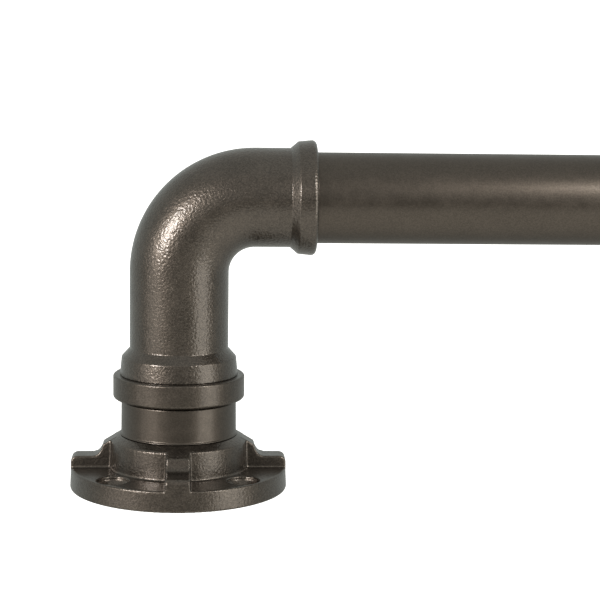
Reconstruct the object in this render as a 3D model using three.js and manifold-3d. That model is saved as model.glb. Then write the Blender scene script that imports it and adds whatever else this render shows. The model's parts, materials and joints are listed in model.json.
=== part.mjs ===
// Telescoping curtain rod with two pipe-style wall brackets.
//
// Millimetres, +Z up. The wall is the plane y = 0 and the room lies towards -y.
// The origin is the centre of the right-hand flange's back face; the rod runs towards -x.
// Each bracket is a floor flange, a turned nipple standing on it, and a cast elbow that
// swivels on the nipple and takes the end of the rod.

import * as THREE from 'three';
import { mergeVertices } from 'three/addons/utils/BufferGeometryUtils.js';
import Module from 'manifold-3d';

const wasm = await Module();
wasm.setup();

// ---- Driving dimensions -------------------------------------------------------------

const ROD_RADIUS = 12.7; // 1 inch rod
const WALL_TO_ROD = 82.5; // wall face to rod axis
const SPAN = 711; // flange centre to flange centre with the rod closed, 28 inches
const TRAVEL = 508; // how far the rod pulls out, 20 inches
const OVERLAP = 68; // rod left inside the outer tube when fully pulled out

const GAP = 0.3; // between pieces that fit into each other
const SEAT = 0.15; // between pieces that rest face to face
const ROUND = 32; // sides of a turned piece

// Wall flange
const FLANGE_RADIUS = 30.7;
const FLANGE_TOP_RADIUS = 30.4;
const FLANGE_THICKNESS = 6;
const FLANGE_FLOOR = 4; // metal left under the blind bore
const BOSS_RADIUS = 19.2;
const BOSS_FOOT_RADIUS = 19.5;
const BOSS_FILLET = 0.5;
const SEAT_HEIGHT = 15.4; // where the nipple's shoulder stands
const SEAT_RADIUS = 16.6;
const CONE_SLOPE = 0.6; // fall of the boss top per millimetre outwards
const RIB_COUNT = 4;
const RIB_WIDTH = 6.6;
const RIB_SHOULDER = 21.3; // radius where the rib leaves the slope of the boss top
const RIB_TOE = 24; // radius where it reaches its low flat top
const RIB_HEIGHT = 9.3;
const RIB_CORNER = 1.8;
const SCREW_CIRCLE_RADIUS = 25.2;
const SCREW_HOLE_RADIUS = 2.5;
const COUNTERSINK_RADIUS = 4.4;
const COUNTERSINK_LAND = 0.6; // straight wall above the countersink

// Nipple
const THREAD_RADIUS = 12.4;
const HUB_FOOT_RADIUS = 16.35;
const HUB_TOP_RADIUS = 16.15;
const HUB_TOP = 25.15;
const SPIGOT_RADIUS = 12;
const SPIGOT_TOP = 56;
const NIPPLE_BORE = 9;

// Lock ring and the swivel washer under it
const WASHER_BOTTOM = HUB_TOP + SEAT;
const WASHER_TOP = WASHER_BOTTOM + 0.4;
const WASHER_RADIUS = 15.6;
const RING_BOTTOM = WASHER_TOP + SEAT;
const RING_TOP = 32.45;
const RING_RADIUS = 18.5;
const RING_LOWER_ROUND = 1.2;
const RING_UPPER_ROUND = 0.5;

// Elbow
const BEND_RADIUS = 21;
const PIPE_RADIUS = 13.85;
const SKIRT_RADIUS = 15;
const BELL_BOTTOM = RING_TOP + SEAT;
const BELL_RADIUS = 16.6;
const BELL_NECK_RADIUS = 16.1;
const BELL_NECK = 37.5;
const BELL_SHOULDER = 40.2;
const CHANNEL_RADIUS = 9.5;
const SOCKET_TOP = SPIGOT_TOP + 1;
const COLLAR_START = 30.8; // these five are measured along the rod from the flange axis
const COLLAR_EDGE = 32.95;
const COLLAR_FACE = 38;
const COUNTERBORE_START = 31.5;
const COLLAR_SCREW = 34.8;
const COLLAR_EDGE_RADIUS = 15.7;
const COLLAR_RADIUS = 16.2;
const COLLAR_ROUND = 1.5;

// Tubes and what guides them
const OUTER_TUBE_WALL = 0.7;
const INNER_TUBE_RADIUS = 11;
const INNER_TUBE_WALL = 0.7;
const MOUTH_TO_COLLAR = 25; // inner tube left showing when the rod is closed
const LIP_THICKNESS = 1.5;
const BUSH_DEPTH = 22;
const GUIDE_HEAD = 8;
const GUIDE_DEPTH = 20;
const PLUG_END = 60; // how far a rod plug reaches along the rod from the flange axis
const PLUG_ROOT = 22.5;
const PLUG_SHOULDER = COUNTERBORE_START + GAP;

// Grub screws
const SCREW_RADIUS = 1.5;
const SCREW_SOCKET_RADIUS = 0.9;
const SCREW_SOCKET_DEPTH = 1.8;
const TAPPED_RADIUS = SCREW_RADIUS + 0.25;
const RING_SCREW_HEIGHT = (RING_BOTTOM + RING_TOP) / 2;

// ---- Places that follow from them ---------------------------------------------------

const COLLAR_BORE = ROD_RADIUS + GAP;
const OUTER_TUBE_BORE = ROD_RADIUS - OUTER_TUBE_WALL;
const INNER_TUBE_BORE = INNER_TUBE_RADIUS - INNER_TUBE_WALL;
const TUBE_START = PLUG_SHOULDER + SEAT;
const OUTER_TUBE_END = SPAN - COLLAR_FACE - MOUTH_TO_COLLAR;
const INNER_TUBE_START = OUTER_TUBE_END - OVERLAP - TRAVEL;
const INNER_TUBE_END = SPAN - TUBE_START;

// ---- Materials ----------------------------------------------------------------------

function finish(color, roughness, metalness) {
  return new THREE.MeshStandardMaterial({ color, roughness, metalness });
}

const castBronze = finish(0x4f4840, 0.42, 0.85);
const smoothBronze = finish(0x554e46, 0.38, 0.85);
const blackSteel = finish(0x26272a, 0.4, 0.9);
const plainZinc = finish(0x8f9294, 0.45, 0.9);
const blackNylon = finish(0x1b1b1c, 0.6, 0);

// ---- Making solids ------------------------------------------------------------------

/** A solid for joining and cutting, from any closed geometry. */
function solid(geometry) {
  const bare = geometry.clone();
  bare.deleteAttribute('normal');
  bare.deleteAttribute('uv');
  const merged = mergeVertices(bare, 1e-4);
  const corners = merged.index.array;
  const faces = [];
  for (let i = 0; i < corners.length; i += 3) {
    const [a, b, c] = corners.slice(i, i + 3);
    if (a !== b && b !== c && c !== a) faces.push(a, b, c);
  }
  return new wasm.Manifold(new wasm.Mesh({
    numProp: 3,
    vertProperties: new Float32Array(merged.attributes.position.array),
    triVerts: new Uint32Array(faces),
  }));
}

/** A named piece made from a solid. */
function piece(name, shape, material) {
  const mesh = shape.getMesh();
  const geometry = new THREE.BufferGeometry();
  geometry.setAttribute('position', new THREE.BufferAttribute(mesh.vertProperties, 3));
  geometry.setIndex(new THREE.BufferAttribute(mesh.triVerts, 1));
  geometry.computeVertexNormals();
  const made = new THREE.Mesh(geometry, material);
  made.name = name;
  return made;
}

/** Turns an outline of [radius, height] points, given anticlockwise, about the Z axis. */
function turned(outline, sides = ROUND) {
  const points = outline.map(([radius, height]) => new THREE.Vector2(radius, height));
  const open = outline[0][0] > 0;
  if (open) points.push(points[0].clone());
  return new THREE.LatheGeometry(points, sides).rotateX(Math.PI / 2);
}

/** Points of a quarter round in an outline, from one angle to another in degrees. */
function arc(radius, height, size, from, to, steps = 3) {
  return Array.from({ length: steps + 1 }, (_, i) => {
    const angle = THREE.MathUtils.degToRad(from + ((to - from) * i) / steps);
    return [radius + size * Math.cos(angle), height + size * Math.sin(angle)];
  });
}

/** A round hole along Z, from one height to another. */
function bore(radius, from, to, sides = 16) {
  return turned([[0, from], [radius, from], [radius, to], [0, to]], sides);
}

/** Lays something made along Z down so that it points away from the axis, up or down. */
function radially(geometry, side, height) {
  return geometry.rotateX(-side * Math.PI / 2).translate(0, 0, height);
}

// ---- Wall flange --------------------------------------------------------------------

function slopeHeight(radius) {
  return SEAT_HEIGHT - CONE_SLOPE * (radius - SEAT_RADIUS);
}

function flangeRib(turn) {
  const inner = BOSS_RADIUS - 1;
  const outer = FLANGE_TOP_RADIUS - 0.1;
  const foot = FLANGE_THICKNESS - 0.5;
  const outline = new THREE.Shape();
  outline.moveTo(inner, foot);
  outline.lineTo(outer, foot);
  outline.lineTo(outer, RIB_HEIGHT - RIB_CORNER);
  outline.quadraticCurveTo(outer, RIB_HEIGHT, outer - RIB_CORNER, RIB_HEIGHT);
  outline.lineTo(RIB_TOE, RIB_HEIGHT);
  outline.quadraticCurveTo(RIB_TOE - 1.6, RIB_HEIGHT, RIB_SHOULDER, slopeHeight(RIB_SHOULDER));
  outline.lineTo(inner, slopeHeight(inner));
  outline.closePath();
  const rib = new THREE.ExtrudeGeometry(outline, { depth: RIB_WIDTH, bevelEnabled: false, curveSegments: 3 });
  return rib.translate(0, 0, -RIB_WIDTH / 2).rotateX(Math.PI / 2).rotateZ(turn);
}

function countersunkHole(turn) {
  const sink = COUNTERSINK_RADIUS - SCREW_HOLE_RADIUS;
  const outline = [
    [0, -1],
    [SCREW_HOLE_RADIUS, -1],
    [SCREW_HOLE_RADIUS, FLANGE_THICKNESS - COUNTERSINK_LAND - sink],
    [COUNTERSINK_RADIUS, FLANGE_THICKNESS - COUNTERSINK_LAND],
    [COUNTERSINK_RADIUS, FLANGE_THICKNESS + 1],
    [0, FLANGE_THICKNESS + 1],
  ];
  return turned(outline, 16).translate(SCREW_CIRCLE_RADIUS, 0, 0).rotateZ(turn);
}

function wallFlange(name) {
  const boreRadius = THREAD_RADIUS + GAP;
  let shape = solid(turned([
    [0, 0],
    [FLANGE_RADIUS, 0],
    [FLANGE_TOP_RADIUS, FLANGE_THICKNESS - 0.5],
    [FLANGE_TOP_RADIUS - 0.5, FLANGE_THICKNESS],
    [BOSS_FOOT_RADIUS + BOSS_FILLET, FLANGE_THICKNESS],
    [BOSS_FOOT_RADIUS, FLANGE_THICKNESS + BOSS_FILLET],
    [BOSS_RADIUS, slopeHeight(BOSS_RADIUS)],
    [SEAT_RADIUS, SEAT_HEIGHT],
    [boreRadius, SEAT_HEIGHT],
    [boreRadius, FLANGE_FLOOR],
    [0, FLANGE_FLOOR],
  ]));
  for (let i = 0; i < RIB_COUNT; i++) {
    const turn = (i * 2 * Math.PI) / RIB_COUNT;
    shape = shape.add(solid(flangeRib(turn)));
    shape = shape.subtract(solid(countersunkHole(turn + Math.PI / RIB_COUNT)));
  }
  return piece(name, shape, castBronze);
}

// ---- Nipple, washer and lock ring ---------------------------------------------------

function hubNipple(name) {
  const outline = [
    [NIPPLE_BORE, FLANGE_FLOOR + GAP],
    [THREAD_RADIUS, FLANGE_FLOOR + GAP],
    [THREAD_RADIUS, SEAT_HEIGHT + SEAT],
    [HUB_FOOT_RADIUS, SEAT_HEIGHT + SEAT],
    [HUB_TOP_RADIUS, HUB_TOP - 0.4],
    [HUB_TOP_RADIUS - 0.4, HUB_TOP],
    [SPIGOT_RADIUS, HUB_TOP],
    [SPIGOT_RADIUS, SPIGOT_TOP - 1],
    [SPIGOT_RADIUS - 1, SPIGOT_TOP],
    [NIPPLE_BORE, SPIGOT_TOP],
  ];
  return piece(name, solid(turned(outline)), smoothBronze);
}

function swivelWasher(name) {
  const inner = SPIGOT_RADIUS + GAP;
  const outline = [
    [inner, WASHER_BOTTOM],
    [WASHER_RADIUS, WASHER_BOTTOM],
    [WASHER_RADIUS, WASHER_TOP],
    [inner, WASHER_TOP],
  ];
  return piece(name, solid(turned(outline)), blackNylon);
}

/** The hole for a grub screw that points at the axis from below. */
function tappedHole(side, height) {
  return solid(radially(bore(TAPPED_RADIUS, SPIGOT_RADIUS - 2, RING_RADIUS + 2), side, height));
}

function lockRing(name, side) {
  const inner = SKIRT_RADIUS + GAP;
  const lower = RING_LOWER_ROUND;
  const upper = RING_UPPER_ROUND;
  const outline = [
    [inner, RING_BOTTOM],
    ...arc(RING_RADIUS - lower, RING_BOTTOM + lower, lower, -90, 0),
    ...arc(RING_RADIUS - upper, RING_TOP - upper, upper, 0, 90),
    [inner, RING_TOP],
  ];
  const shape = solid(turned(outline)).subtract(tappedHole(side, RING_SCREW_HEIGHT));
  return piece(name, shape, castBronze);
}

// ---- Elbow --------------------------------------------------------------------------

const BEND_START = WALL_TO_ROD - BEND_RADIUS;
const BEND_LENGTH = (BEND_RADIUS * Math.PI) / 2;
const BEND_STEPS = 9;

/** Distance along the elbow's centre line for a distance along the rod. */
function alongRod(distance) {
  return BEND_START + BEND_LENGTH + distance - BEND_RADIUS;
}

/** Bends a straight pipe standing on Z through a right angle towards +X. */
function bent(geometry) {
  const place = geometry.attributes.position;
  for (let i = 0; i < place.count; i++) {
    const height = place.getZ(i);
    const past = Math.max(height - BEND_START - BEND_LENGTH, 0);
    const turn = THREE.MathUtils.clamp((height - BEND_START) / BEND_RADIUS, 0, Math.PI / 2);
    const reach = BEND_RADIUS - place.getX(i);
    place.setX(i, BEND_RADIUS - reach * Math.cos(turn) + past);
    place.setZ(i, Math.min(height, BEND_START) + reach * Math.sin(turn));
  }
  return geometry;
}

/** Outline points along the bend at one radius, in the order of the centre line. */
function roundTheBend(radius) {
  return Array.from({ length: BEND_STEPS + 1 }, (_, i) => [radius, BEND_START + (BEND_LENGTH * i) / BEND_STEPS]);
}

function elbow(name, side) {
  const skirtBore = SPIGOT_RADIUS + GAP;
  const face = alongRod(COLLAR_FACE);
  const outline = [
    [skirtBore, RING_BOTTOM],
    [SKIRT_RADIUS, RING_BOTTOM],
    [SKIRT_RADIUS, BELL_BOTTOM],
    [BELL_RADIUS, BELL_BOTTOM],
    [BELL_NECK_RADIUS, BELL_NECK],
    [PIPE_RADIUS + 0.5, BELL_SHOULDER - 1],
    [PIPE_RADIUS, BELL_SHOULDER],
    ...roundTheBend(PIPE_RADIUS),
    [PIPE_RADIUS, alongRod(COLLAR_START)],
    [COLLAR_EDGE_RADIUS, alongRod(COLLAR_EDGE)],
    ...arc(COLLAR_RADIUS - COLLAR_ROUND, face - COLLAR_ROUND, COLLAR_ROUND, 0, 90),
    [COLLAR_BORE, face],
    [COLLAR_BORE, alongRod(COUNTERBORE_START)],
    [CHANNEL_RADIUS, alongRod(COUNTERBORE_START)],
    ...roundTheBend(CHANNEL_RADIUS).reverse(),
    [CHANNEL_RADIUS, SOCKET_TOP],
    [skirtBore, SOCKET_TOP],
  ];
  const collarHole = bore(TAPPED_RADIUS, SPIGOT_RADIUS - 2, RING_RADIUS + 2);
  const shape = solid(bent(turned(outline)))
    .subtract(tappedHole(side, RING_SCREW_HEIGHT))
    .subtract(solid(radially(collarHole, side, WALL_TO_ROD).translate(COLLAR_SCREW, 0, 0)));
  return piece(name, shape, castBronze);
}

/** The insert pressed into the elbow that backs the tube where its grub screw bears. */
function rodPlug(name, tubeBore) {
  const grip = tubeBore - GAP;
  const outline = [
    [0, PLUG_ROOT],
    [CHANNEL_RADIUS - GAP, PLUG_ROOT],
    [CHANNEL_RADIUS - GAP, PLUG_SHOULDER],
    [grip, PLUG_SHOULDER],
    [grip, PLUG_END - 2],
    [grip - 1.5, PLUG_END],
    [0, PLUG_END],
  ];
  const lying = turned(outline).rotateY(Math.PI / 2).translate(0, 0, WALL_TO_ROD);
  return piece(name, solid(lying), plainZinc);
}

// ---- Grub screws --------------------------------------------------------------------

/** A socket set screw that points at the axis, its tip and its head at these radii. */
function grubScrew(name, side, height, tip, head) {
  const body = turned([
    [0, tip],
    [SCREW_RADIUS - 0.5, tip],
    [SCREW_RADIUS, tip + 0.5],
    [SCREW_RADIUS, head],
    [0, head],
  ], 16);
  const key = bore(SCREW_SOCKET_RADIUS, head - SCREW_SOCKET_DEPTH, head + 1, 6);
  const shape = solid(radially(body, side, height)).subtract(solid(radially(key, side, height)));
  return piece(name, shape, blackSteel);
}

// ---- Bracket ------------------------------------------------------------------------

/**
 * One bracket, standing on its flange with the rod leaving towards +X.
 * side is +1 or -1: which way along Y is down once the bracket is on the wall.
 */
function bracket(hand, side, tubeRadius, tubeBore) {
  const group = new THREE.Group();
  const collarScrew = grubScrew(
    `rod_grub_screw_${hand}`, side, WALL_TO_ROD, tubeRadius + SEAT, COLLAR_RADIUS - 0.4);
  collarScrew.geometry.translate(COLLAR_SCREW, 0, 0);
  group.add(
    wallFlange(`wall_flange_${hand}`),
    hubNipple(`hub_nipple_${hand}`),
    swivelWasher(`swivel_washer_${hand}`),
    lockRing(`lock_ring_${hand}`, side),
    grubScrew(`ring_grub_screw_${hand}`, side, RING_SCREW_HEIGHT, SPIGOT_RADIUS + SEAT, RING_RADIUS - 0.4),
    elbow(`elbow_${hand}`, side),
    rodPlug(`rod_plug_${hand}`, tubeBore),
    collarScrew,
  );
  return group;
}

/** Fills the left collar between its bore and the thinner inner tube. */
function reducerRing(name, side) {
  const inner = INNER_TUBE_RADIUS + GAP;
  const outer = COLLAR_BORE - GAP;
  const start = COUNTERBORE_START + SEAT;
  const outline = [
    [inner, start],
    [outer, start],
    [outer, COLLAR_FACE - 0.4],
    [inner, COLLAR_FACE - 0.4],
  ];
  const lying = turned(outline).rotateY(Math.PI / 2).translate(0, 0, WALL_TO_ROD);
  const hole = radially(bore(TAPPED_RADIUS, inner - 1, outer + 1), side, WALL_TO_ROD);
  const shape = solid(lying).subtract(solid(hole.translate(COLLAR_SCREW, 0, 0)));
  return piece(name, shape, blackNylon);
}

// ---- Rod ----------------------------------------------------------------------------

function tube(name, outer, inner, from, to) {
  const outline = [[inner, from], [outer, from], [outer, to], [inner, to]];
  return piece(name, solid(turned(outline)), smoothBronze);
}

/** Lines the mouth of the outer tube, with a lip that covers the tube's edge. */
function mouthBush(name) {
  const inner = INNER_TUBE_RADIUS + GAP;
  const sleeve = OUTER_TUBE_BORE - GAP;
  const lip = OUTER_TUBE_END + SEAT;
  const outline = [
    [inner, OUTER_TUBE_END - BUSH_DEPTH],
    [sleeve, OUTER_TUBE_END - BUSH_DEPTH],
    [sleeve, lip],
    [ROD_RADIUS, lip],
    [ROD_RADIUS, lip + LIP_THICKNESS - 0.4],
    [ROD_RADIUS - 0.4, lip + LIP_THICKNESS],
    [inner, lip + LIP_THICKNESS],
  ];
  return piece(name, solid(turned(outline)), blackNylon);
}

/** Closes the hidden end of the inner tube and runs along the outer tube's bore. */
function tailGuide(name) {
  const head = OUTER_TUBE_BORE - GAP;
  const stem = INNER_TUBE_BORE - GAP;
  const shoulder = INNER_TUBE_START - SEAT;
  const outline = [
    [0, shoulder - GUIDE_HEAD],
    [head - 1, shoulder - GUIDE_HEAD],
    [head, shoulder - GUIDE_HEAD + 1],
    [head, shoulder],
    [stem, shoulder],
    [stem, shoulder + GUIDE_DEPTH],
    [0, shoulder + GUIDE_DEPTH],
  ];
  return piece(name, solid(turned(outline)), blackNylon);
}

function rod() {
  const group = new THREE.Group();
  group.add(
    tube('outer_tube', ROD_RADIUS, OUTER_TUBE_BORE, TUBE_START, OUTER_TUBE_END),
    mouthBush('mouth_bush'),
    tube('inner_tube', INNER_TUBE_RADIUS, INNER_TUBE_BORE, INNER_TUBE_START, INNER_TUBE_END),
    tailGuide('tail_guide'),
  );
  return group;
}

// ---- Assembly -----------------------------------------------------------------------

/** Places a group by where its own X, Y and Z axes point in the assembly. */
function oriented(group, x, y, z) {
  const axes = [x, y, z].map((axis) => new THREE.Vector3(...axis));
  group.quaternion.setFromRotationMatrix(new THREE.Matrix4().makeBasis(...axes));
  return group;
}

const rightBracket = oriented(
  bracket('right', 1, ROD_RADIUS, OUTER_TUBE_BORE), [-1, 0, 0], [0, 0, -1], [0, -1, 0]);

const leftBracket = oriented(
  bracket('left', -1, INNER_TUBE_RADIUS, INNER_TUBE_BORE), [1, 0, 0], [0, 0, 1], [0, -1, 0]);
leftBracket.add(reducerRing('reducer_ring', -1));
leftBracket.position.x = -SPAN;

const rodGroup = oriented(rod(), [0, 0, 1], [0, 1, 0], [-1, 0, 0]);
rodGroup.position.y = -WALL_TO_ROD;

const curtainRod = new THREE.Group();
curtainRod.add(rightBracket, leftBracket, rodGroup);

export default curtainRod;
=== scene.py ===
"""Looks for a telescoping curtain rod with two pipe-style wall brackets.

Shapes are built in millimetres in a bracket's own axes: x along the rod from the flange
axis, z out from the wall, y the remaining direction. They are then scaled to metres and
placed where the frame says. The wall is the plane y = 0 of the frame and +Z is up.
"""

import json
import math

import bpy
from mathutils import Matrix, Vector

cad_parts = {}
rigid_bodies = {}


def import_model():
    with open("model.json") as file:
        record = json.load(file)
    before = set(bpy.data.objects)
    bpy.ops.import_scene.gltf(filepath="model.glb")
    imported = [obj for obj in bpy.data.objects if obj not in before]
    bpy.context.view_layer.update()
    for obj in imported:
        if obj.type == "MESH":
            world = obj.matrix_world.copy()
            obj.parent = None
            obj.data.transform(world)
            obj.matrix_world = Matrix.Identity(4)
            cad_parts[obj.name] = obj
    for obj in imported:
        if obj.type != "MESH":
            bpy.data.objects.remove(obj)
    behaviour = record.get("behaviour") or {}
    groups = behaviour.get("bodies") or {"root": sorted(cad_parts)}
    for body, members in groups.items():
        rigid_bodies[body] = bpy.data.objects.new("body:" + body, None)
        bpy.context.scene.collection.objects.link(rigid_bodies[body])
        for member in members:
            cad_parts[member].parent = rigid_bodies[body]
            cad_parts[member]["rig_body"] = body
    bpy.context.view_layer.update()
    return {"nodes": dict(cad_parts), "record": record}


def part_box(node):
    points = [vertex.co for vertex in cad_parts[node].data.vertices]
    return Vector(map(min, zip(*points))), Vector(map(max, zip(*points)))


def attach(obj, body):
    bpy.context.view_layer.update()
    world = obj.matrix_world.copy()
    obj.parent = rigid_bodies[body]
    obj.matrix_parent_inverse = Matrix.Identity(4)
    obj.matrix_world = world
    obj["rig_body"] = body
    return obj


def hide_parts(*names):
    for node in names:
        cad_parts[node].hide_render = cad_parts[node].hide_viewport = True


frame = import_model()

# ---- Sizes, in millimetres -----------------------------------------------------------

# They are the CAD's, but for COUNTERSINK_LAND, BELL_SHOULDER and the three TRIMs.
MM = 0.001
ROD_RADIUS = 12.7
WALL_TO_ROD = 82.5
GAP = 0.3
SEAT = 0.15

FLANGE_RADIUS = 30.7
FLANGE_TOP_RADIUS = 30.4
FLANGE_THICKNESS = 6
FLANGE_FLOOR = 4
BOSS_RADIUS = 19.2
BOSS_FOOT_RADIUS = 19.5
SEAT_HEIGHT = 15.4
SEAT_RADIUS = 16.6
CONE_SLOPE = 0.6
RIB_COUNT = 4
RIB_TOP_WIDTH = 6.3
RIB_FOOT_WIDTH = 6.9
RIB_SHOULDER = 21.3
RIB_TOE = 24
RIB_HEIGHT = 9.3
RIB_CORNER = 1.8
RIB_START = BOSS_RADIUS - 1.5  # inside the boss
RIB_END = FLANGE_TOP_RADIUS - 0.05
RIB_FOOT = FLANGE_THICKNESS - 1  # inside the disc
RIB_PULL_OUT, RIB_PULL_UP = 0.7, 0.3  # bend the drop between shoulder and toe
SCREW_CIRCLE_RADIUS = 25.2
SCREW_HOLE_RADIUS = 2.5
COUNTERSINK_RADIUS = 4.4
COUNTERSINK_LAND = 1.0

THREAD_RADIUS = 12.4
HUB_FOOT_RADIUS = 16.35
HUB_TOP_RADIUS = 16.15
HUB_TOP = 25.15
HUB_SEAT = SEAT_HEIGHT + SEAT
HUB_EDGE, HUB_EDGE_HEIGHT = 0.05, 0.15  # the broken edge of the hub's seat
HUB_FOOT_HEIGHT = HUB_SEAT + 0.45
HUB_FOOT_TRIM = 0.1
SPIGOT_RADIUS = 12
SPIGOT_TOP = 56
NIPPLE_BORE = 9

WASHER_THICKNESS = 0.4
WASHER_BOTTOM = HUB_TOP + SEAT
WASHER_TOP = WASHER_BOTTOM + WASHER_THICKNESS
WASHER_RADIUS = 15.6
RING_BOTTOM = WASHER_TOP + SEAT
RING_TOP = 32.45
RING_RADIUS = 18.5
WASHER_SEAM_TRIM = 0.1  # narrows the dark seam on each side of the washer

BEND_RADIUS = 21
PIPE_RADIUS = 13.85
SKIRT_RADIUS = 15
BELL_BOTTOM = RING_TOP + SEAT
BELL_SEAM_TRIM = 0.08
BELL_RADIUS = 16.6
BELL_NECK_RADIUS = 16.1
BELL_NECK = 37.5
BELL_SHOULDER = 40.0
CHANNEL_RADIUS = 9.5
SOCKET_TOP = SPIGOT_TOP + 1
COLLAR_START = 30.8
COLLAR_EDGE = 32.95
COLLAR_EDGE_RADIUS = 15.7
COLLAR_RADIUS = 16.2
COLLAR_FACE = 38
COLLAR_BORE = ROD_RADIUS + GAP
COUNTERBORE_START = 31.5
COLLAR_SCREW = 34.8

TUBE_WALL = 0.7
OUTER_TUBE_BORE = ROD_RADIUS - TUBE_WALL
INNER_TUBE_RADIUS = 11
INNER_TUBE_BORE = INNER_TUBE_RADIUS - TUBE_WALL
LIP_THICKNESS = 1.5
REDUCER_INSET = 0.4

SCREW_RADIUS = 1.5
SCREW_INSET = 0.4
SCREW_SOCKET_RADIUS = 0.9
SCREW_SOCKET_DEPTH = 1.8
SCREW_POINT_TAPER, SCREW_POINT_LENGTH = 0.6, 0.65
SCREW_CHAMFER = 0.3
SCREW_EDGE = 0.05  # in from the sides, where taper and chamfer are rounded off
SCREW_EDGE_LOW, SCREW_EDGE_HIGH = 0.08, 0.02  # up and down, at the chamfer's two ends
TAPPED_RADIUS = SCREW_RADIUS + 0.25
CHAMFER_WIDTH = 0.45
CHAMFER_START, CHAMFER_END = 0.35, 0.1  # below and above the surface it opens
RING_SCREW_HEIGHT = (RING_BOTTOM + RING_TOP) / 2
CUTTER_REACH = 1  # past the face that a cutter opens

# ---- Fineness of the meshes ----------------------------------------------------------

SIDES = 160  # round a turned piece
HOLE_SIDES = 48
TAPPED_SIDES = 32
KEY_SIDES = 6
FILLET_STEPS = 5
FINE_STEPS = 8
COARSE_STEPS = 3
FILLET_LEAD = 0.3  # of the fillet, to a point on each flat beside it
FILLET_ROOM = 0.48  # of an edge, the most that one end's fillet and lead may take
ELBOW_STEP = 1.0  # longest face along the elbow, in millimetres
TUBE_STEP = 20  # and along a tube
CAST_GRID = 0.34  # grid of the remeshed flange casting, in millimetres
CAST_SOFTNESS, CAST_PASSES = 0.5, 3

# ---- Places from the frame -----------------------------------------------------------

mounts = {m["name"]: Vector(m["pos_m"]) for m in frame["record"]["mounts"]}
OUT_OF_WALL = Vector((0, -1, 0))
TO_LEFT = Vector((-1, 0, 0))
TO_RIGHT = Vector((1, 0, 0))
UP = Vector((0, 0, 1))


def axes(origin, along, out):
    """The matrix from millimetres in a piece's own axes to the frame."""
    across = out.cross(along)
    turn = Matrix((along, across, out)).transposed().to_4x4()
    return Matrix.Translation(origin) @ turn @ Matrix.Scale(MM, 4)


rod_origin = mounts["wall_face_right"] + OUT_OF_WALL * WALL_TO_ROD * MM
RIGHT = axes(mounts["wall_face_right"], TO_LEFT, OUT_OF_WALL)
LEFT = axes(mounts["wall_face_left"], TO_RIGHT, OUT_OF_WALL)
ROD = axes(rod_origin, UP, TO_LEFT)  # z along the rod


def rod_reach(node):
    """Where a node on the rod starts and ends, in millimetres from the right flange axis."""
    low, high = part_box(node)
    return -high.x / MM, -low.x / MM


# ---- Outlines ------------------------------------------------------------------------


def rounded(corners, steps=FILLET_STEPS):
    """A closed outline from (radius, height, fillet) corners, each rounded by its fillet.

    A point just outside each end of a fillet keeps the shading of the flats beside it even.
    """
    points = []
    for i, (x, y, fillet) in enumerate(corners):
        here = Vector((x, y))
        if not fillet:
            points.append(here)
            continue
        before = Vector(corners[i - 1][:2]) - here
        after = Vector(corners[(i + 1) % len(corners)][:2]) - here
        room = min(before.length, after.length)
        before.normalize()
        after.normalize()
        half = before.angle(after) / 2
        reach = fillet / math.tan(half)
        centre = here + (before + after).normalized() * fillet / math.sin(half)
        first, last = here + before * reach - centre, here + after * reach - centre
        sweep = first.angle_signed(last)
        lead = min(reach + FILLET_LEAD * fillet, room * FILLET_ROOM)
        if lead > reach:
            points.append(here + before * lead)
        for k in range(steps + 1):
            turn = Matrix.Rotation(-sweep * k / steps, 2)
            points.append(centre + turn @ first)
        if lead > reach:
            points.append(here + after * lead)
    return points


def stepped(points, longest):
    """The same closed outline with no edge that rises or falls more than longest."""
    made = []
    for i, here in enumerate(points):
        onward = points[(i + 1) % len(points)]
        count = max(1, math.ceil(abs(onward.y - here.y) / longest))
        made += [here.lerp(onward, k / count) for k in range(count)]
    return made


# ---- Meshes --------------------------------------------------------------------------


def revolve(points, sides=SIDES):
    """Vertices and faces of a closed outline turned about z."""
    count = len(points)
    verts = []
    for k in range(sides):
        angle = 2 * math.pi * k / sides
        verts += [(p.x * math.cos(angle), p.x * math.sin(angle), p.y) for p in points]
    faces = []
    for k in range(sides):
        a, b = k * count, ((k + 1) % sides) * count
        for i in range(count):
            j = (i + 1) % count
            faces.append((a + i, b + i, b + j, a + j))
    return verts, faces


def spindle(points, sides=SIDES):
    """Vertices and faces of an open outline that starts and ends on the axis."""
    verts, rings = [], []
    for p in points:
        if p[0] == 0:
            rings.append([len(verts)] * sides)
            verts.append((0, 0, p[1]))
            continue
        rings.append(list(range(len(verts), len(verts) + sides)))
        for k in range(sides):
            angle = 2 * math.pi * k / sides
            verts.append((p[0] * math.cos(angle), p[0] * math.sin(angle), p[1]))
    faces = []
    for low, high in zip(rings, rings[1:]):
        for k in range(sides):
            n = (k + 1) % sides
            corners = [low[k], low[n], high[n], high[k]]
            faces.append([c for i, c in enumerate(corners) if c not in corners[:i]])
    return verts, faces


def solid(name, shape, place):
    """An object from (vertices, faces), put in its place, smooth shaded."""
    mesh = bpy.data.meshes.new(name)
    mesh.from_pydata([tuple(v) for v in shape[0]], [], shape[1])
    mesh.transform(place)
    mesh.validate()
    mesh.shade_smooth()
    made = bpy.data.objects.new(name, mesh)
    bpy.context.scene.collection.objects.link(made)
    return made


def settle(obj):
    """Applies the object's modifiers to its mesh."""
    graph = bpy.context.evaluated_depsgraph_get()
    graph.update()
    mesh = bpy.data.meshes.new_from_object(obj.evaluated_get(graph), depsgraph=graph)
    obj.modifiers.clear()
    obj.data = mesh


def cut(obj, cutters):
    """Takes the cutters' shapes out of obj, then deletes the cutters."""
    for cutter in cutters:
        change = obj.modifiers.new("cut", "BOOLEAN")
        change.operation, change.solver, change.object = "DIFFERENCE", "EXACT", cutter
    settle(obj)
    for cutter in cutters:
        bpy.data.objects.remove(cutter)


# ---- Materials -----------------------------------------------------------------------


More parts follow.
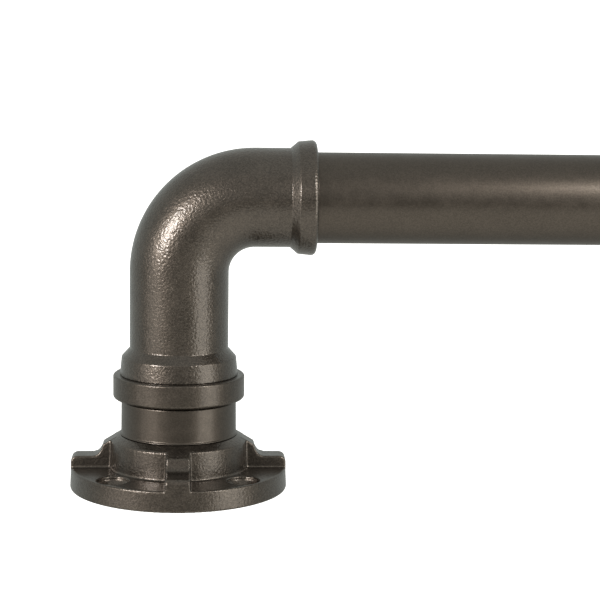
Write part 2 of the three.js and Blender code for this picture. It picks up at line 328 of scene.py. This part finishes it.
class Nodes:
    """Short calls for building one material's node tree."""

    def __init__(self, name):
        self.material = bpy.data.materials.new(name)
        self.material.use_nodes = True
        self.tree = self.material.node_tree
        self.shader = self.tree.nodes["Principled BSDF"]
        self.place = self.add("ShaderNodeTexCoord").outputs["Object"]

    def add(self, kind, **values):
        """A new node with these settings."""
        node = self.tree.nodes.new(kind)
        for key, value in values.items():
            setattr(node, key, value)
        return node

    def link(self, source, target):
        self.tree.links.new(source, target)

    def noise(self, size_mm, detail=2.0, rough=0.5):
        """Noise with features of about this size."""
        node = self.add("ShaderNodeTexNoise")
        self.link(self.place, node.inputs["Vector"])
        node.inputs["Scale"].default_value = 1 / (size_mm * MM)
        node.inputs["Detail"].default_value = detail
        node.inputs["Roughness"].default_value = rough
        return node.outputs["Fac"]

    def cells(self, size_mm):
        """A random value for each cell of about this size."""
        node = self.add("ShaderNodeTexVoronoi")
        self.link(self.place, node.inputs["Vector"])
        node.inputs["Scale"].default_value = 1 / (size_mm * MM)
        split = self.add("ShaderNodeSeparateColor")
        self.link(node.outputs["Color"], split.inputs["Color"])
        return split.outputs["Red"]

    def spread(self, source, low, high, start=0.3, end=0.7):
        """Maps a value that runs from start to end onto low to high."""
        node = self.add("ShaderNodeMapRange")
        self.link(source, node.inputs["Value"])
        limits = {"From Min": start, "From Max": end, "To Min": low, "To Max": high}
        for key, value in limits.items():
            node.inputs[key].default_value = value
        return node.outputs["Result"]

    def maths(self, operation, a, b):
        """The result of a maths node on two values, each a number or an output."""
        node = self.add("ShaderNodeMath", operation=operation)
        for socket, value in zip(node.inputs, (a, b)):
            if isinstance(value, (int, float)):
                socket.default_value = value
            else:
                self.link(value, socket)
        return node.outputs["Value"]

    def colour_between(self, factor, dark, light):
        """A colour that goes from dark to light as factor goes from 0 to 1."""
        node = self.add("ShaderNodeMix", data_type="RGBA")
        self.link(factor, node.inputs["Factor"])
        node.inputs["A"].default_value = (*dark, 1)
        node.inputs["B"].default_value = (*light, 1)
        return node.outputs["Result"]

    def bump(self, heights):
        """Bumps in the surface and its coat from (height, depth in millimetres) pairs."""
        normal = None
        for height, depth in heights:
            node = self.add("ShaderNodeBump")
            node.inputs["Distance"].default_value = depth * MM
            node.inputs["Strength"].default_value = 1
            self.link(height, node.inputs["Height"])
            if normal:
                self.link(normal, node.inputs["Normal"])
            normal = node.outputs["Normal"]
        self.link(normal, self.shader.inputs["Normal"])
        self.link(normal, self.shader.inputs["Coat Normal"])


BRONZE_DARK = (0.072, 0.062, 0.053)
BRONZE_LIGHT = (0.145, 0.124, 0.105)
BRONZE_ROUGHNESS = (0.35, 0.44)
FLAKE_SIZE = 0.26  # millimetres, like the other sizes of the coat's features
CLOUD_SIZE = 9
GLOSS_SIZE = 3
GRAIN_SIZE = 0.36
PEEL_SIZE = 0.66
FLAKE_SHARE, CLOUD_SHARE = 0.6, 0.4  # of the variation in colour
TONE_RANGE = (0.2, 0.8)  # what flakes and clouds together run through


def bronze(name, peel, grain, contrast, coat, coat_roughness):
    """Dark bronze metallic powder coat. peel is the depth of its orange peel in millimetres,
    grain that of its fine sparkle, contrast how far its flakes differ in colour."""
    m = Nodes(name)
    flake = m.maths("MULTIPLY", m.cells(FLAKE_SIZE), FLAKE_SHARE)
    cloud = m.maths("MULTIPLY", m.noise(CLOUD_SIZE, detail=3), CLOUD_SHARE)
    tone = m.maths("ADD", flake, cloud)
    mixed = m.spread(tone, 0.5 - contrast / 2, 0.5 + contrast / 2, *TONE_RANGE)
    m.link(m.colour_between(mixed, BRONZE_DARK, BRONZE_LIGHT), m.shader.inputs["Base Color"])
    gloss = m.spread(m.noise(GLOSS_SIZE, detail=4), *BRONZE_ROUGHNESS)
    m.link(gloss, m.shader.inputs["Roughness"])
    m.shader.inputs["Metallic"].default_value = 1
    m.shader.inputs["Coat Weight"].default_value = coat
    m.shader.inputs["Coat Roughness"].default_value = coat_roughness
    heights = [(m.noise(GRAIN_SIZE, detail=1.5), grain)]
    if peel:
        heights.append((m.noise(PEEL_SIZE, detail=1.5, rough=0.45), peel))
    m.bump(heights)
    return m.material


def plain(name, dark, light, patch, gloss_patch, roughness, metallic, bump):
    """Uncoated metal or plastic: two shades in patches, uneven gloss and a fine bump.

    patch is (size, noise detail), gloss_patch a size and bump (size, noise detail, depth),
    all in millimetres.
    """
    m = Nodes(name)
    shade = m.noise(patch[0], detail=patch[1])
    m.link(m.colour_between(shade, dark, light), m.shader.inputs["Base Color"])
    m.link(m.spread(m.noise(gloss_patch), *roughness), m.shader.inputs["Roughness"])
    m.shader.inputs["Metallic"].default_value = metallic
    size, detail, depth = bump
    m.bump([(m.noise(size, detail=detail), depth)])
    return m.material


ELBOW_COAT = bronze("elbow_coat", peel=0.115, grain=0.008, contrast=0.9,
                    coat=0.7, coat_roughness=0.06)
CAST_COAT = bronze("cast_coat", peel=0.09, grain=0.022, contrast=0.9,
                   coat=0.5, coat_roughness=0.14)
RING_COAT = bronze("ring_coat", peel=0.04, grain=0.012, contrast=0.8,
                   coat=0.4, coat_roughness=0.12)
TUBE_COAT = bronze("tube_coat", peel=0, grain=0.015, contrast=0.45,
                   coat=0.25, coat_roughness=0.15)
STEEL = plain("black_oxide_steel", dark=(0.012, 0.012, 0.013), light=(0.03, 0.03, 0.032),
              patch=(1.2, 4), gloss_patch=0.7, roughness=(0.28, 0.45), metallic=0.9,
              bump=(0.5, 3, 0.01))
ZINC = plain("bare_zinc", dark=(0.28, 0.29, 0.3), light=(0.42, 0.43, 0.44),
             patch=(4, 4), gloss_patch=1.5, roughness=(0.35, 0.55), metallic=1,
             bump=(0.9, 3, 0.03))
NYLON = plain("black_nylon", dark=(0.01, 0.01, 0.0105), light=(0.022, 0.022, 0.023),
              patch=(2.5, 3), gloss_patch=0.8, roughness=(0.45, 0.62), metallic=0,
              bump=(0.35, 2, 0.012))

# ---- Finishing a piece ---------------------------------------------------------------


def finish_piece(obj, node, material):
    """Gives a piece its material and body, and hides the CAD node it refines."""
    obj.data.materials.clear()
    obj.data.materials.append(material)
    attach(obj, frame["nodes"][node]["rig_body"])
    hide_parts(node)


def keep_node(node, material):
    """Keeps a CAD node's shape, which is right, and gives it a finished material."""
    for slot in frame["nodes"][node].material_slots:
        slot.material = material


# ---- Wall flange ---------------------------------------------------------------------


def slope_height(radius):
    """The height of the boss's sloped shoulder at a radius."""
    return SEAT_HEIGHT - CONE_SLOPE * (radius - SEAT_RADIUS)


def flange_disc(name):
    """The disc with its boss and blind bore, on z."""
    bore = THREAD_RADIUS + GAP
    corners = [
        (FLANGE_RADIUS, 0, 0.3),
        (FLANGE_TOP_RADIUS, FLANGE_THICKNESS, 0.4),
        (BOSS_FOOT_RADIUS, FLANGE_THICKNESS, 0.35),
        (BOSS_RADIUS, slope_height(BOSS_RADIUS), 0.4),
        (SEAT_RADIUS, SEAT_HEIGHT, 0),
        (bore, SEAT_HEIGHT, 0),
        (bore, FLANGE_FLOOR, 0),
    ]
    outline = [Vector((0, 0)), *rounded(corners), Vector((0, FLANGE_FLOOR))]
    return solid(name, spindle(outline), Matrix.Identity(4))


def flange_rib(turn):
    """A radial rib: the boss slope carried outwards, a hollow drop, then a low flat toe."""
    outline = [(RIB_START, RIB_FOOT), (RIB_END, RIB_FOOT)]
    for k in range(FINE_STEPS + 1):
        angle = math.pi / 2 * k / FINE_STEPS
        back, down = 1 - math.cos(angle), 1 - math.sin(angle)
        outline.append((RIB_END - RIB_CORNER * back, RIB_HEIGHT - RIB_CORNER * down))
    drop_top = Vector((RIB_SHOULDER, slope_height(RIB_SHOULDER)))
    drop_foot = Vector((RIB_TOE, RIB_HEIGHT))
    pull = Vector((RIB_SHOULDER + RIB_PULL_OUT, RIB_HEIGHT + RIB_PULL_UP))
    for k in range(FINE_STEPS + 1):
        t = k / FINE_STEPS
        outline.append(tuple(drop_foot.lerp(pull, t).lerp(pull.lerp(drop_top, t), t)))
    outline.append((RIB_START, slope_height(RIB_START)))
    rise = slope_height(RIB_START) - RIB_FOOT
    verts = []
    for side in (-1, 1):
        for radius, height in outline:
            lean = (height - RIB_FOOT) / rise
            half = (RIB_FOOT_WIDTH + (RIB_TOP_WIDTH - RIB_FOOT_WIDTH) * lean) / 2
            verts.append((radius, side * half, height))
    count = len(outline)
    faces = [tuple(range(count)), tuple(range(2 * count - 1, count - 1, -1))]
    for i in range(count):
        j = (i + 1) % count
        faces.append((i, i + count, j + count, j))
    return solid("rib", (verts, faces), Matrix.Rotation(turn, 4, "Z"))


def countersunk_hole(turn):
    """A cutter for one screw hole with its countersink."""
    sink = COUNTERSINK_RADIUS - SCREW_HOLE_RADIUS
    bottom, top = -CUTTER_REACH, FLANGE_THICKNESS + CUTTER_REACH
    outline = [
        (0, bottom),
        (SCREW_HOLE_RADIUS, bottom),
        (SCREW_HOLE_RADIUS, FLANGE_THICKNESS - COUNTERSINK_LAND - sink),
        (COUNTERSINK_RADIUS, FLANGE_THICKNESS - COUNTERSINK_LAND),
        (COUNTERSINK_RADIUS, top),
        (0, top),
    ]
    place = Matrix.Rotation(turn, 4, "Z") @ Matrix.Translation((SCREW_CIRCLE_RADIUS, 0, 0))
    return solid("hole", spindle(outline, HOLE_SIDES), place)


def wall_flange(hand, place):
    """The cast flange: disc, boss and ribs fused, with the soft edges of a casting."""
    flange = flange_disc(f"flange_casting_{hand}")
    step = 2 * math.pi / RIB_COUNT
    cut(flange, [countersunk_hole((i + 0.5) * step) for i in range(RIB_COUNT)])
    ribs = [flange_rib(i * step) for i in range(RIB_COUNT)]
    with bpy.context.temp_override(
            active_object=flange, selected_editable_objects=[flange, *ribs], object=flange):
        bpy.ops.object.join()
    sharp = flange.copy()
    sharp.data = flange.data.copy()
    bpy.context.scene.collection.objects.link(sharp)
    fuse = flange.modifiers.new("fuse", "REMESH")
    fuse.mode, fuse.voxel_size = "VOXEL", CAST_GRID
    flatten = flange.modifiers.new("flatten", "SHRINKWRAP")
    flatten.target, flatten.wrap_method = sharp, "NEAREST_SURFACEPOINT"
    soften = flange.modifiers.new("soften", "SMOOTH")
    soften.factor, soften.iterations = CAST_SOFTNESS, CAST_PASSES
    settle(flange)
    bpy.data.objects.remove(sharp)
    flange.data.transform(place)
    flange.data.shade_smooth()
    finish_piece(flange, f"wall_flange_{hand}", CAST_COAT)


# ---- Nipple, washer, ring ------------------------------------------------------------


def hub_nipple(hand, place):
    """The smooth hub, with a thread below it and the elbow's spigot above."""
    low = FLANGE_FLOOR + GAP
    corners = [
        (NIPPLE_BORE, low, 0.3),
        (THREAD_RADIUS, low, 0.3),
        (THREAD_RADIUS, HUB_SEAT, 0),
        (SEAT_RADIUS, HUB_SEAT, HUB_EDGE),
        (SEAT_RADIUS - HUB_EDGE, HUB_SEAT + HUB_EDGE_HEIGHT, HUB_EDGE),
        (HUB_FOOT_RADIUS - HUB_FOOT_TRIM, HUB_FOOT_HEIGHT, 0.5),
        (HUB_TOP_RADIUS, HUB_TOP + WASHER_SEAM_TRIM, 0.5),
        (SPIGOT_RADIUS, HUB_TOP + WASHER_SEAM_TRIM, 0.2),
        (SPIGOT_RADIUS, SPIGOT_TOP, 0.8),
        (NIPPLE_BORE, SPIGOT_TOP, 0.3),
    ]
    nipple = solid(f"hub_{hand}", revolve(rounded(corners)), place)
    finish_piece(nipple, f"hub_nipple_{hand}", TUBE_COAT)


def swivel_washer(hand, place):
    """The thin washer between hub and lock ring."""
    inner = SPIGOT_RADIUS + GAP
    corners = [
        (inner, WASHER_BOTTOM, 0),
        (WASHER_RADIUS, WASHER_BOTTOM, 0.1),
        (WASHER_RADIUS, WASHER_TOP, 0.1),
        (inner, WASHER_TOP, 0),
    ]
    washer = solid(f"washer_{hand}", revolve(rounded(corners, COARSE_STEPS)), place)
    finish_piece(washer, f"swivel_washer_{hand}", NYLON)


def radially(down, height, along):
    """Turns something made along z to point away from the axis, on the underside."""
    return Matrix.Translation((along, 0, height)) @ Matrix.Rotation(-down * math.pi / 2, 4, "X")


def tapped_hole(down, height, surface, along, place):
    """A cutter for a grub screw's hole, with a small chamfer where it opens."""
    bottom, top = SPIGOT_RADIUS - 2 * CUTTER_REACH, surface + 2 * CUTTER_REACH
    outline = [
        (0, bottom),
        (TAPPED_RADIUS, bottom),
        (TAPPED_RADIUS, surface - CHAMFER_START),
        (TAPPED_RADIUS + CHAMFER_WIDTH, surface + CHAMFER_END),
        (TAPPED_RADIUS + CHAMFER_WIDTH, top),
        (0, top),
    ]
    where = place @ radially(down, height, along)
    return solid("tapped_hole", spindle(outline, TAPPED_SIDES), where)


def lock_ring(hand, place, down):
    """The ring around the elbow's skirt, with the hole of its grub screw."""
    inner = SKIRT_RADIUS + GAP
    corners = [
        (inner, RING_BOTTOM, 0.3),
        (RING_RADIUS, RING_BOTTOM - WASHER_SEAM_TRIM, 0.85),
        (RING_RADIUS, RING_TOP, 0.6),
        (inner, RING_TOP, 0.2),
    ]
    ring = solid(f"ring_{hand}", revolve(rounded(corners, FINE_STEPS)), place)
    cut(ring, [tapped_hole(down, RING_SCREW_HEIGHT, RING_RADIUS, 0, place)])
    finish_piece(ring, f"lock_ring_{hand}", RING_COAT)


# ---- Elbow ---------------------------------------------------------------------------

BEND_START = WALL_TO_ROD - BEND_RADIUS
BEND_LENGTH = BEND_RADIUS * math.pi / 2


def along_rod(distance):
    """Distance along the elbow's centre line for a distance along the rod."""
    return BEND_START + BEND_LENGTH + distance - BEND_RADIUS


def bent(vert):
    """Carries a point of a straight pipe standing on z to the pipe bent towards +x."""
    x, y, z = vert
    past = max(z - BEND_START - BEND_LENGTH, 0)
    turn = min(max((z - BEND_START) / BEND_RADIUS, 0), math.pi / 2)
    reach = BEND_RADIUS - x
    out = min(z, BEND_START) + reach * math.sin(turn)
    return (BEND_RADIUS - reach * math.cos(turn) + past, y, out)


def elbow(hand, place, down):
    """The hollow cast elbow, turned as a straight pipe and then bent."""
    skirt_bore = SPIGOT_RADIUS + GAP
    face = along_rod(COLLAR_FACE)
    corners = [
        (skirt_bore, RING_BOTTOM, 0.3),
        (SKIRT_RADIUS, RING_BOTTOM, 0.3),
        (SKIRT_RADIUS, BELL_BOTTOM - BELL_SEAM_TRIM, 0),
        (BELL_RADIUS, BELL_BOTTOM - BELL_SEAM_TRIM, 0.1),
        (BELL_NECK_RADIUS, BELL_NECK, 0.6),
        (PIPE_RADIUS, BELL_SHOULDER, 0.6),
        (PIPE_RADIUS, along_rod(COLLAR_START), 0.35),
        (COLLAR_EDGE_RADIUS, along_rod(COLLAR_EDGE), 0.7),
        (COLLAR_RADIUS, face, 1.3),
        (COLLAR_BORE, face, 0.35),
        (COLLAR_BORE, along_rod(COUNTERBORE_START), 0),
        (CHANNEL_RADIUS, along_rod(COUNTERBORE_START), 0),
        (CHANNEL_RADIUS, SOCKET_TOP, 0),
        (skirt_bore, SOCKET_TOP, 0),
    ]
    verts, faces = revolve(stepped(rounded(corners), ELBOW_STEP))
    casting = solid(f"elbow_casting_{hand}", ([bent(v) for v in verts], faces), place)
    cut(casting, [
        tapped_hole(down, RING_SCREW_HEIGHT, SKIRT_RADIUS, 0, place),
        tapped_hole(down, WALL_TO_ROD, COLLAR_RADIUS, COLLAR_SCREW, place),
    ])
    finish_piece(casting, f"elbow_{hand}", ELBOW_COAT)


# ---- Grub screws ---------------------------------------------------------------------


def grub_screw(name, node, place, down, height, along, tip, head):
    """A socket set screw: cone point, chamfered head and a six-sided key socket.

    tip and head are how far its two ends are from the axis it points to.
    """
    outline = [
        (0, tip),
        (SCREW_RADIUS - SCREW_POINT_TAPER, tip),
        (SCREW_RADIUS - SCREW_EDGE, tip + SCREW_POINT_LENGTH - 2 * SCREW_EDGE),
        (SCREW_RADIUS, tip + SCREW_POINT_LENGTH),
        (SCREW_RADIUS, head - SCREW_CHAMFER),
        (SCREW_RADIUS - SCREW_EDGE, head - SCREW_CHAMFER + SCREW_EDGE_LOW),
        (SCREW_RADIUS - SCREW_CHAMFER + SCREW_EDGE, head - SCREW_EDGE_HIGH),
        (SCREW_RADIUS - SCREW_CHAMFER, head),
        (0, head),
    ]
    low, high = head - SCREW_SOCKET_DEPTH, head + CUTTER_REACH
    key = [(0, low), (SCREW_SOCKET_RADIUS, low), (SCREW_SOCKET_RADIUS, high), (0, high)]
    where = place @ radially(down, height, along)
    screw = solid(name, spindle(outline, HOLE_SIDES), where)
    cut(screw, [solid("key", spindle(key, KEY_SIDES), where)])
    finish_piece(screw, node, STEEL)


# ---- Bracket -------------------------------------------------------------------------


def bracket(hand, place, down, tube_radius):
    """One bracket. down is 1 where its own y axis points down and -1 where it points up."""
    wall_flange(hand, place)
    hub_nipple(hand, place)
    swivel_washer(hand, place)
    lock_ring(hand, place, down)
    elbow(hand, place, down)
    grub_screw(f"ring_screw_{hand}", f"ring_grub_screw_{hand}", place, down,
               RING_SCREW_HEIGHT, 0, SPIGOT_RADIUS + SEAT, RING_RADIUS - SCREW_INSET)
    grub_screw(f"rod_screw_{hand}", f"rod_grub_screw_{hand}", place, down,
               WALL_TO_ROD, COLLAR_SCREW, tube_radius + SEAT, COLLAR_RADIUS - SCREW_INSET)
    keep_node(f"rod_plug_{hand}", ZINC)


# ---- Rod -----------------------------------------------------------------------------


def tube(name, node, outer, bore):
    """A tube from where its CAD node starts to where it ends."""
    start, end = rod_reach(node)
    corners = [(bore, start, 0.15), (outer, start, 0.2), (outer, end, 0.2), (bore, end, 0.15)]
    points = stepped(rounded(corners, COARSE_STEPS), TUBE_STEP)
    made = solid(name, revolve(points), ROD)
    finish_piece(made, node, TUBE_COAT)


def mouth_bush():
    """The sleeve in the outer tube's mouth, with the lip that shows."""
    start, end = rod_reach("mouth_bush")
    inner, sleeve = INNER_TUBE_RADIUS + GAP, OUTER_TUBE_BORE - GAP
    lip = end - LIP_THICKNESS
    corners = [
        (inner, start, 0.1),
        (sleeve, start, 0.1),
        (sleeve, lip, 0),
        (ROD_RADIUS, lip, 0.15),
        (ROD_RADIUS, end, 0.6),
        (inner, end, 0.3),
    ]
    bush = solid("mouth_trim", revolve(rounded(corners)), ROD)
    finish_piece(bush, "mouth_bush", NYLON)


def reducer_ring():
    """The ring that fills the left collar around the thinner tube."""
    inner, outer = INNER_TUBE_RADIUS + GAP, COLLAR_BORE - GAP
    start, end = COUNTERBORE_START + SEAT, COLLAR_FACE - REDUCER_INSET
    corners = [(inner, start, 0.1), (outer, start, 0.1), (outer, end, 0.25), (inner, end, 0.35)]
    lying = Matrix.Translation((0, 0, WALL_TO_ROD)) @ Matrix.Rotation(math.pi / 2, 4, "Y")
    ring = solid("reducer", revolve(rounded(corners)), LEFT @ lying)
    cut(ring, [tapped_hole(-1, WALL_TO_ROD, outer, COLLAR_SCREW, LEFT)])
    finish_piece(ring, "reducer_ring", NYLON)


# ---- Camera, light and floor ---------------------------------------------------------

LENS = 109.5
SENSOR = 36
CAMERA_PLACE = (4.0, -507.2, 132.5)  # millimetres in the right bracket's axes
CAMERA_YAW, CAMERA_PITCH, CAMERA_ROLL = 3.38, 8.83, 0.8  # degrees


def bracket_direction(yaw, pitch):
    """A direction in the right bracket's axes, turned from +y towards +x and tipped down."""
    y, p = math.radians(yaw), math.radians(pitch)
    return Vector((math.sin(y) * math.cos(p), math.cos(y) * math.cos(p), -math.sin(p)))


def camera():
    """The camera at the photograph's place and viewing angle."""
    data = bpy.data.cameras.new("camera")
    data.lens, data.sensor_width = LENS, SENSOR
    made = bpy.data.objects.new("camera", data)
    bpy.context.scene.collection.objects.link(made)
    turn = RIGHT.to_3x3().normalized()
    forward = turn @ bracket_direction(CAMERA_YAW, CAMERA_PITCH)
    level = turn @ bracket_direction(CAMERA_YAW + 90, 0)
    tilt = Matrix.Rotation(-math.radians(CAMERA_ROLL), 3, forward)
    right = tilt @ level
    up = right.cross(forward)
    basis = Matrix((right, up, -forward)).transposed().to_4x4()
    made.matrix_world = Matrix.Translation(RIGHT @ Vector(CAMERA_PLACE)) @ basis
    bpy.context.scene.camera = made


def softbox(name, aim, azimuth, elevation, distance, width, height, power, colour):
    """A soft light seen from a point of the right bracket, by its direction from there.

    Azimuth is from the camera's side towards the rod, elevation is out from the wall.
    """
    data = bpy.data.lights.new(name, "AREA")
    data.shape, data.size, data.size_y = "RECTANGLE", width, height
    data.energy, data.color = power, colour
    made = bpy.data.objects.new(name, data)
    bpy.context.scene.collection.objects.link(made)
    made.visible_camera = False
    away = RIGHT.to_3x3().normalized() @ -bracket_direction(-azimuth, elevation)
    made.location = RIGHT @ Vector(aim) + away * distance
    sideways = OUT_OF_WALL.cross(away).normalized()
    basis = Matrix((sideways, away.cross(sideways), away)).transposed()
    made.rotation_mode = "QUATERNION"
    made.rotation_quaternion = basis.to_quaternion()


ELBOW_SPOT = (0, 0, 60)
ROD_SPOT = (76, 0, WALL_TO_ROD)
FLOOR_DROP, FLOOR_REACH = 1.5, 30  # metres

# What the metal reflects, by direction. Front is the camera's side.
FRONT_LIGHT = (0.17, 0.165, 0.145)
FRONT_ROOM_LIGHT = (0.37, 0.37, 0.345)
FRONT_WALL_LIGHT = (0.78, 0.76, 0.69)
ABOVE_LIGHT = (0.53, 0.54, 0.51)
BEHIND_LEFT_LIGHT = (0.52, 0.555, 0.53)
BEHIND_RIGHT_LIGHT = (0.46, 0.49, 0.47)
BEHIND_WALL_LIGHT = (0.42, 0.43, 0.40)

WARM = (1.0, 0.95, 0.89)
PALE = (1.0, 0.98, 0.92)
SOFT = (1.0, 0.95, 0.91)
WHITE = (1.0, 1.0, 1.0)


def lights():
    """Four softboxes on the camera's side of the right bracket."""
    softbox("left_box", ELBOW_SPOT, azimuth=-46, elevation=18, distance=0.7,
            width=0.19, height=0.22, power=3.2, colour=SOFT)
    softbox("left_wide_box", ELBOW_SPOT, azimuth=-60, elevation=-4, distance=0.7,
            width=0.45, height=0.6, power=0.55, colour=WARM)
    softbox("right_box", ELBOW_SPOT, azimuth=55, elevation=2, distance=0.7,
            width=0.42, height=0.6, power=1.5, colour=PALE)
    softbox("rod_box", ROD_SPOT, azimuth=36, elevation=30, distance=0.28,
            width=0.08, height=0.06, power=0.26, colour=WARM)


def pale_floor():
    """A plain white floor far below, which the metal doesn't reflect."""
    m = Nodes("pale_floor")
    m.shader.inputs["Base Color"].default_value = (*WHITE, 1)
    m.shader.inputs["Roughness"].default_value = 1
    m.shader.inputs["Emission Color"].default_value = (*WHITE, 1)
    m.shader.inputs["Emission Strength"].default_value = 1
    sides = ((-1, -1), (1, -1), (1, 1), (-1, 1))
    corners = [(x * FLOOR_REACH, y * FLOOR_REACH, -FLOOR_DROP) for x, y in sides]
    floor = solid("floor", (corners, [(0, 1, 2, 3)]), Matrix.Identity(4))
    floor.data.materials.append(m.material)
    floor.visible_diffuse = floor.visible_glossy = False


def surroundings():
    """A white backdrop for the camera, and a soft room for the metal to reflect."""
    world = bpy.data.worlds.new("studio")
    world.use_nodes = True
    nodes, links = world.node_tree.nodes, world.node_tree.links
    backdrop = nodes["Background"]
    backdrop.inputs["Color"].default_value = (*WHITE, 1)
    room = nodes.new("ShaderNodeBackground")
    direction = nodes.new("ShaderNodeTexCoord")
    parts = nodes.new("ShaderNodeSeparateXYZ")
    links.new(direction.outputs["Generated"], parts.inputs["Vector"])

    def blend(axis, low, high, start, end):
        """Goes from one colour to another along an axis of the direction."""
        ramp = nodes.new("ShaderNodeMapRange")
        ramp.interpolation_type = "SMOOTHSTEP"
        ramp.inputs["From Min"].default_value = start
        ramp.inputs["From Max"].default_value = end
        links.new(parts.outputs[axis], ramp.inputs["Value"])
        mix = nodes.new("ShaderNodeMix")
        mix.data_type = "RGBA"
        links.new(ramp.outputs["Result"], mix.inputs["Factor"])
        for socket, colour in ((mix.inputs["A"], low), (mix.inputs["B"], high)):
            if isinstance(colour, tuple):
                socket.default_value = (*colour, 1)
            else:
                links.new(colour, socket)
        return mix.outputs["Result"]

    front = blend("Y", FRONT_ROOM_LIGHT, FRONT_LIGHT, start=-0.2, end=0.1)
    front = blend("Y", front, FRONT_WALL_LIGHT, start=0.17, end=0.42)
    front = blend("Y", ABOVE_LIGHT, front, start=-0.95, end=-0.7)
    behind = blend("X", BEHIND_RIGHT_LIGHT, BEHIND_LEFT_LIGHT, start=-0.6, end=0.6)
    behind = blend("Y", ABOVE_LIGHT, behind, start=-0.8, end=-0.3)
    behind = blend("Y", behind, BEHIND_WALL_LIGHT, start=0.1, end=0.5)
    around = blend("Z", behind, front, start=-0.4, end=0.4)
    links.new(around, room.inputs["Color"])
    rays = nodes.new("ShaderNodeLightPath")
    choose = nodes.new("ShaderNodeMixShader")
    reflected, seen = choose.inputs[1], choose.inputs[2]
    links.new(rays.outputs["Is Camera Ray"], choose.inputs["Fac"])
    links.new(room.outputs["Background"], reflected)
    links.new(backdrop.outputs["Background"], seen)
    links.new(choose.outputs["Shader"], nodes["World Output"].inputs["Surface"])
    bpy.context.scene.world = world
    bpy.context.scene.view_settings.view_transform = "Standard"


# ---- The scene -----------------------------------------------------------------------

camera()
lights()
pale_floor()
surroundings()
bracket("right", RIGHT, 1, ROD_RADIUS)
bracket("left", LEFT, -1, INNER_TUBE_RADIUS)
reducer_ring()
tube("outer_rod_tube", "outer_tube", ROD_RADIUS, OUTER_TUBE_BORE)
tube("inner_rod_tube", "inner_tube", INNER_TUBE_RADIUS, INNER_TUBE_BORE)
mouth_bush()
keep_node("tail_guide", NYLON)
